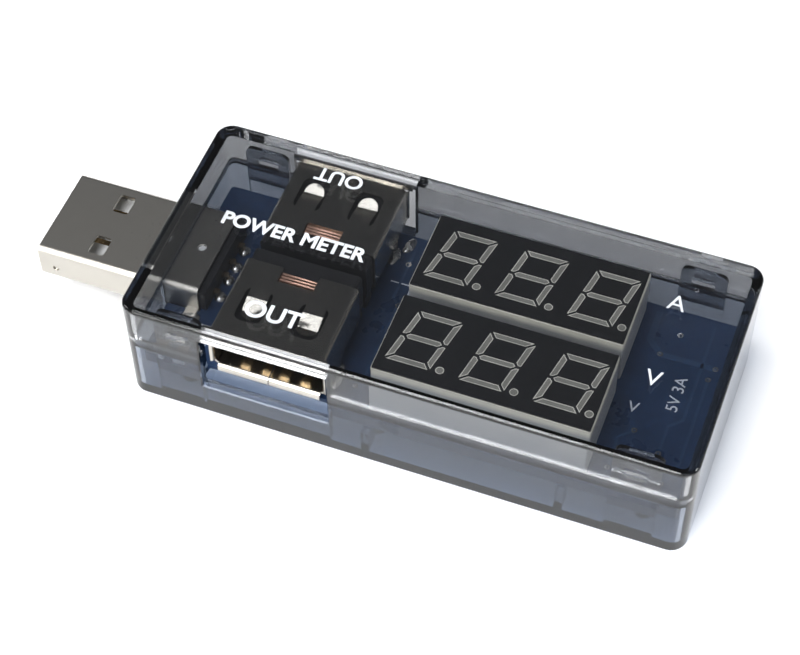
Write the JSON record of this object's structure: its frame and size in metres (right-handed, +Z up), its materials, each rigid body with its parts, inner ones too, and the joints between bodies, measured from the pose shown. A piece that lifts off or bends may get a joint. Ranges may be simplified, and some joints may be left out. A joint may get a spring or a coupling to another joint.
{
  "type": "usb power meter",
  "caption": "Pass-through USB power meter: A plug on one end, output ports in both long sides, numeric displays for current and voltage under a clear lid.",
  "frame": {"origin": "under the middle of the whole meter, plug included, on the surface the base rests on", "axes": "+X from the plug's tip to the display end, +Y to the current display's side, +Z up through the lid"},
  "size_m": [0.0778, 0.0286, 0.0149],
  "materials": {
    "case_base": "glossy translucent smoke grey",
    "case_cover": "glossy translucent smoke grey, clearer",
    "circuit_board": "dark blue solder mask over glass-fibre board",
    "plug_steel": "nickel plated, satin",
    "port_steel": "nickel plated, bright",
    "contact_gold": "gold plated",
    "plug_insulator": "white moulded nylon",
    "plug_rear_cap": "black moulded nylon",
    "port_insulator": "black moulded nylon",
    "display_housing": "cream moulded plastic",
    "display_face": "black printed face",
    "display_segments": "translucent grey, unlit",
    "pin_tin": "tin plated",
    "chip_black": "moulded, fine grain",
    "resistor_black": "glassy black coat",
    "capacitor_tan": "fired ceramic",
    "terminal_tin": "tinned"
  },
  "bodies": {
    "meter": {"back_port_contacts": "contact_gold", "back_port_insulator": "port_insulator", "back_port_shell": "port_steel", "base_shell": "case_base", "circuit_board": "circuit_board", "current_display_face": "display_face", "current_display_housing": "display_housing", "current_display_pins": "pin_tin", "current_display_segments": "display_segments", "front_port_contacts": "contact_gold", "front_port_insulator": "port_insulator", "front_port_shell": "port_steel", "microcontroller_body": "chip_black", "microcontroller_leads": "pin_tin", "plug_contacts": "contact_gold", "plug_insulator": "plug_insulator", "plug_rear_cap": "plug_rear_cap", "plug_shell": "plug_steel", "regulator_body": "chip_black", "regulator_leads": "pin_tin", "shunt_resistor_body": "resistor_black", "shunt_resistor_terminals": "terminal_tin", "small_capacitors_body": "capacitor_tan", "small_capacitors_terminals": "terminal_tin", "small_resistors_body": "resistor_black", "small_resistors_terminals": "terminal_tin", "voltage_display_face": "display_face", "voltage_display_housing": "display_housing", "voltage_display_pins": "pin_tin", "voltage_display_segments": "display_segments"},
    "cover": {"top_cover": "case_cover"}
  },
  "joints": [
    {"name": "cover_lift", "type": "slide", "parent": "meter", "child": "cover", "axis": [0, 0, 1], "range_m": [0, 0.015]}
  ]
}
